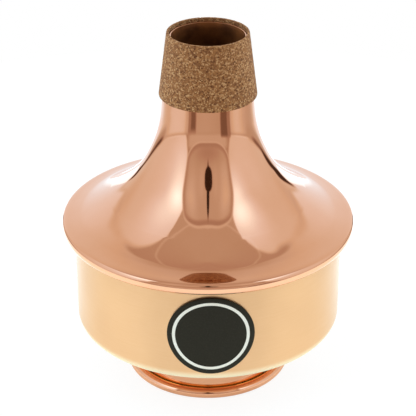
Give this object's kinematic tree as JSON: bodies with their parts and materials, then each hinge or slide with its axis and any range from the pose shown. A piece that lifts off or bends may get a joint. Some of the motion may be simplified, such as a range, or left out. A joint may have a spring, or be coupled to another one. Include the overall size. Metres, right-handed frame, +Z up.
{
  "type": "piccolo trumpet wah-wah mute",
  "caption": "Wah-wah mute for a small trumpet: a copper bell with a cork neck sleeve on a round brass body, and a cupped stem that slides in the body's floor.",
  "frame": {"origin": "on the table, under the mute's axis, which the cup's rolled edge stands round", "axes": "+Z up the mute's axis to the cork end; -Y towards the badge side; +X to the right as the badge is faced"},
  "size_m": [0.08, 0.08, 0.0992],
  "materials": {
    "polished_copper": "polished and lacquered spun copper",
    "stem_copper": "polished spun copper",
    "satin_brass": "satin brass, finely brushed round the body, lacquered",
    "drawn_brass": "plain drawn brass tube",
    "pressed_cork": "sanded pressed cork",
    "lining_cork": "thin greased cork",
    "black_foil": "matt black foil with a pale ring"
  },
  "bodies": {
    "mute": {"copper_bell": "polished_copper", "cork_sleeve": "pressed_cork", "brass_body": "satin_brass", "badge": "black_foil", "receiver_tube": "drawn_brass", "cork_lining": "lining_cork"},
    "stem": {"stem_tube": "drawn_brass", "stem_cup": "stem_copper"}
  },
  "joints": [
    {"name": "stem_slide", "type": "slide", "parent": "mute", "child": "stem", "axis": [0, 0, -1], "range_m": [0, 0.027]}
  ]
}
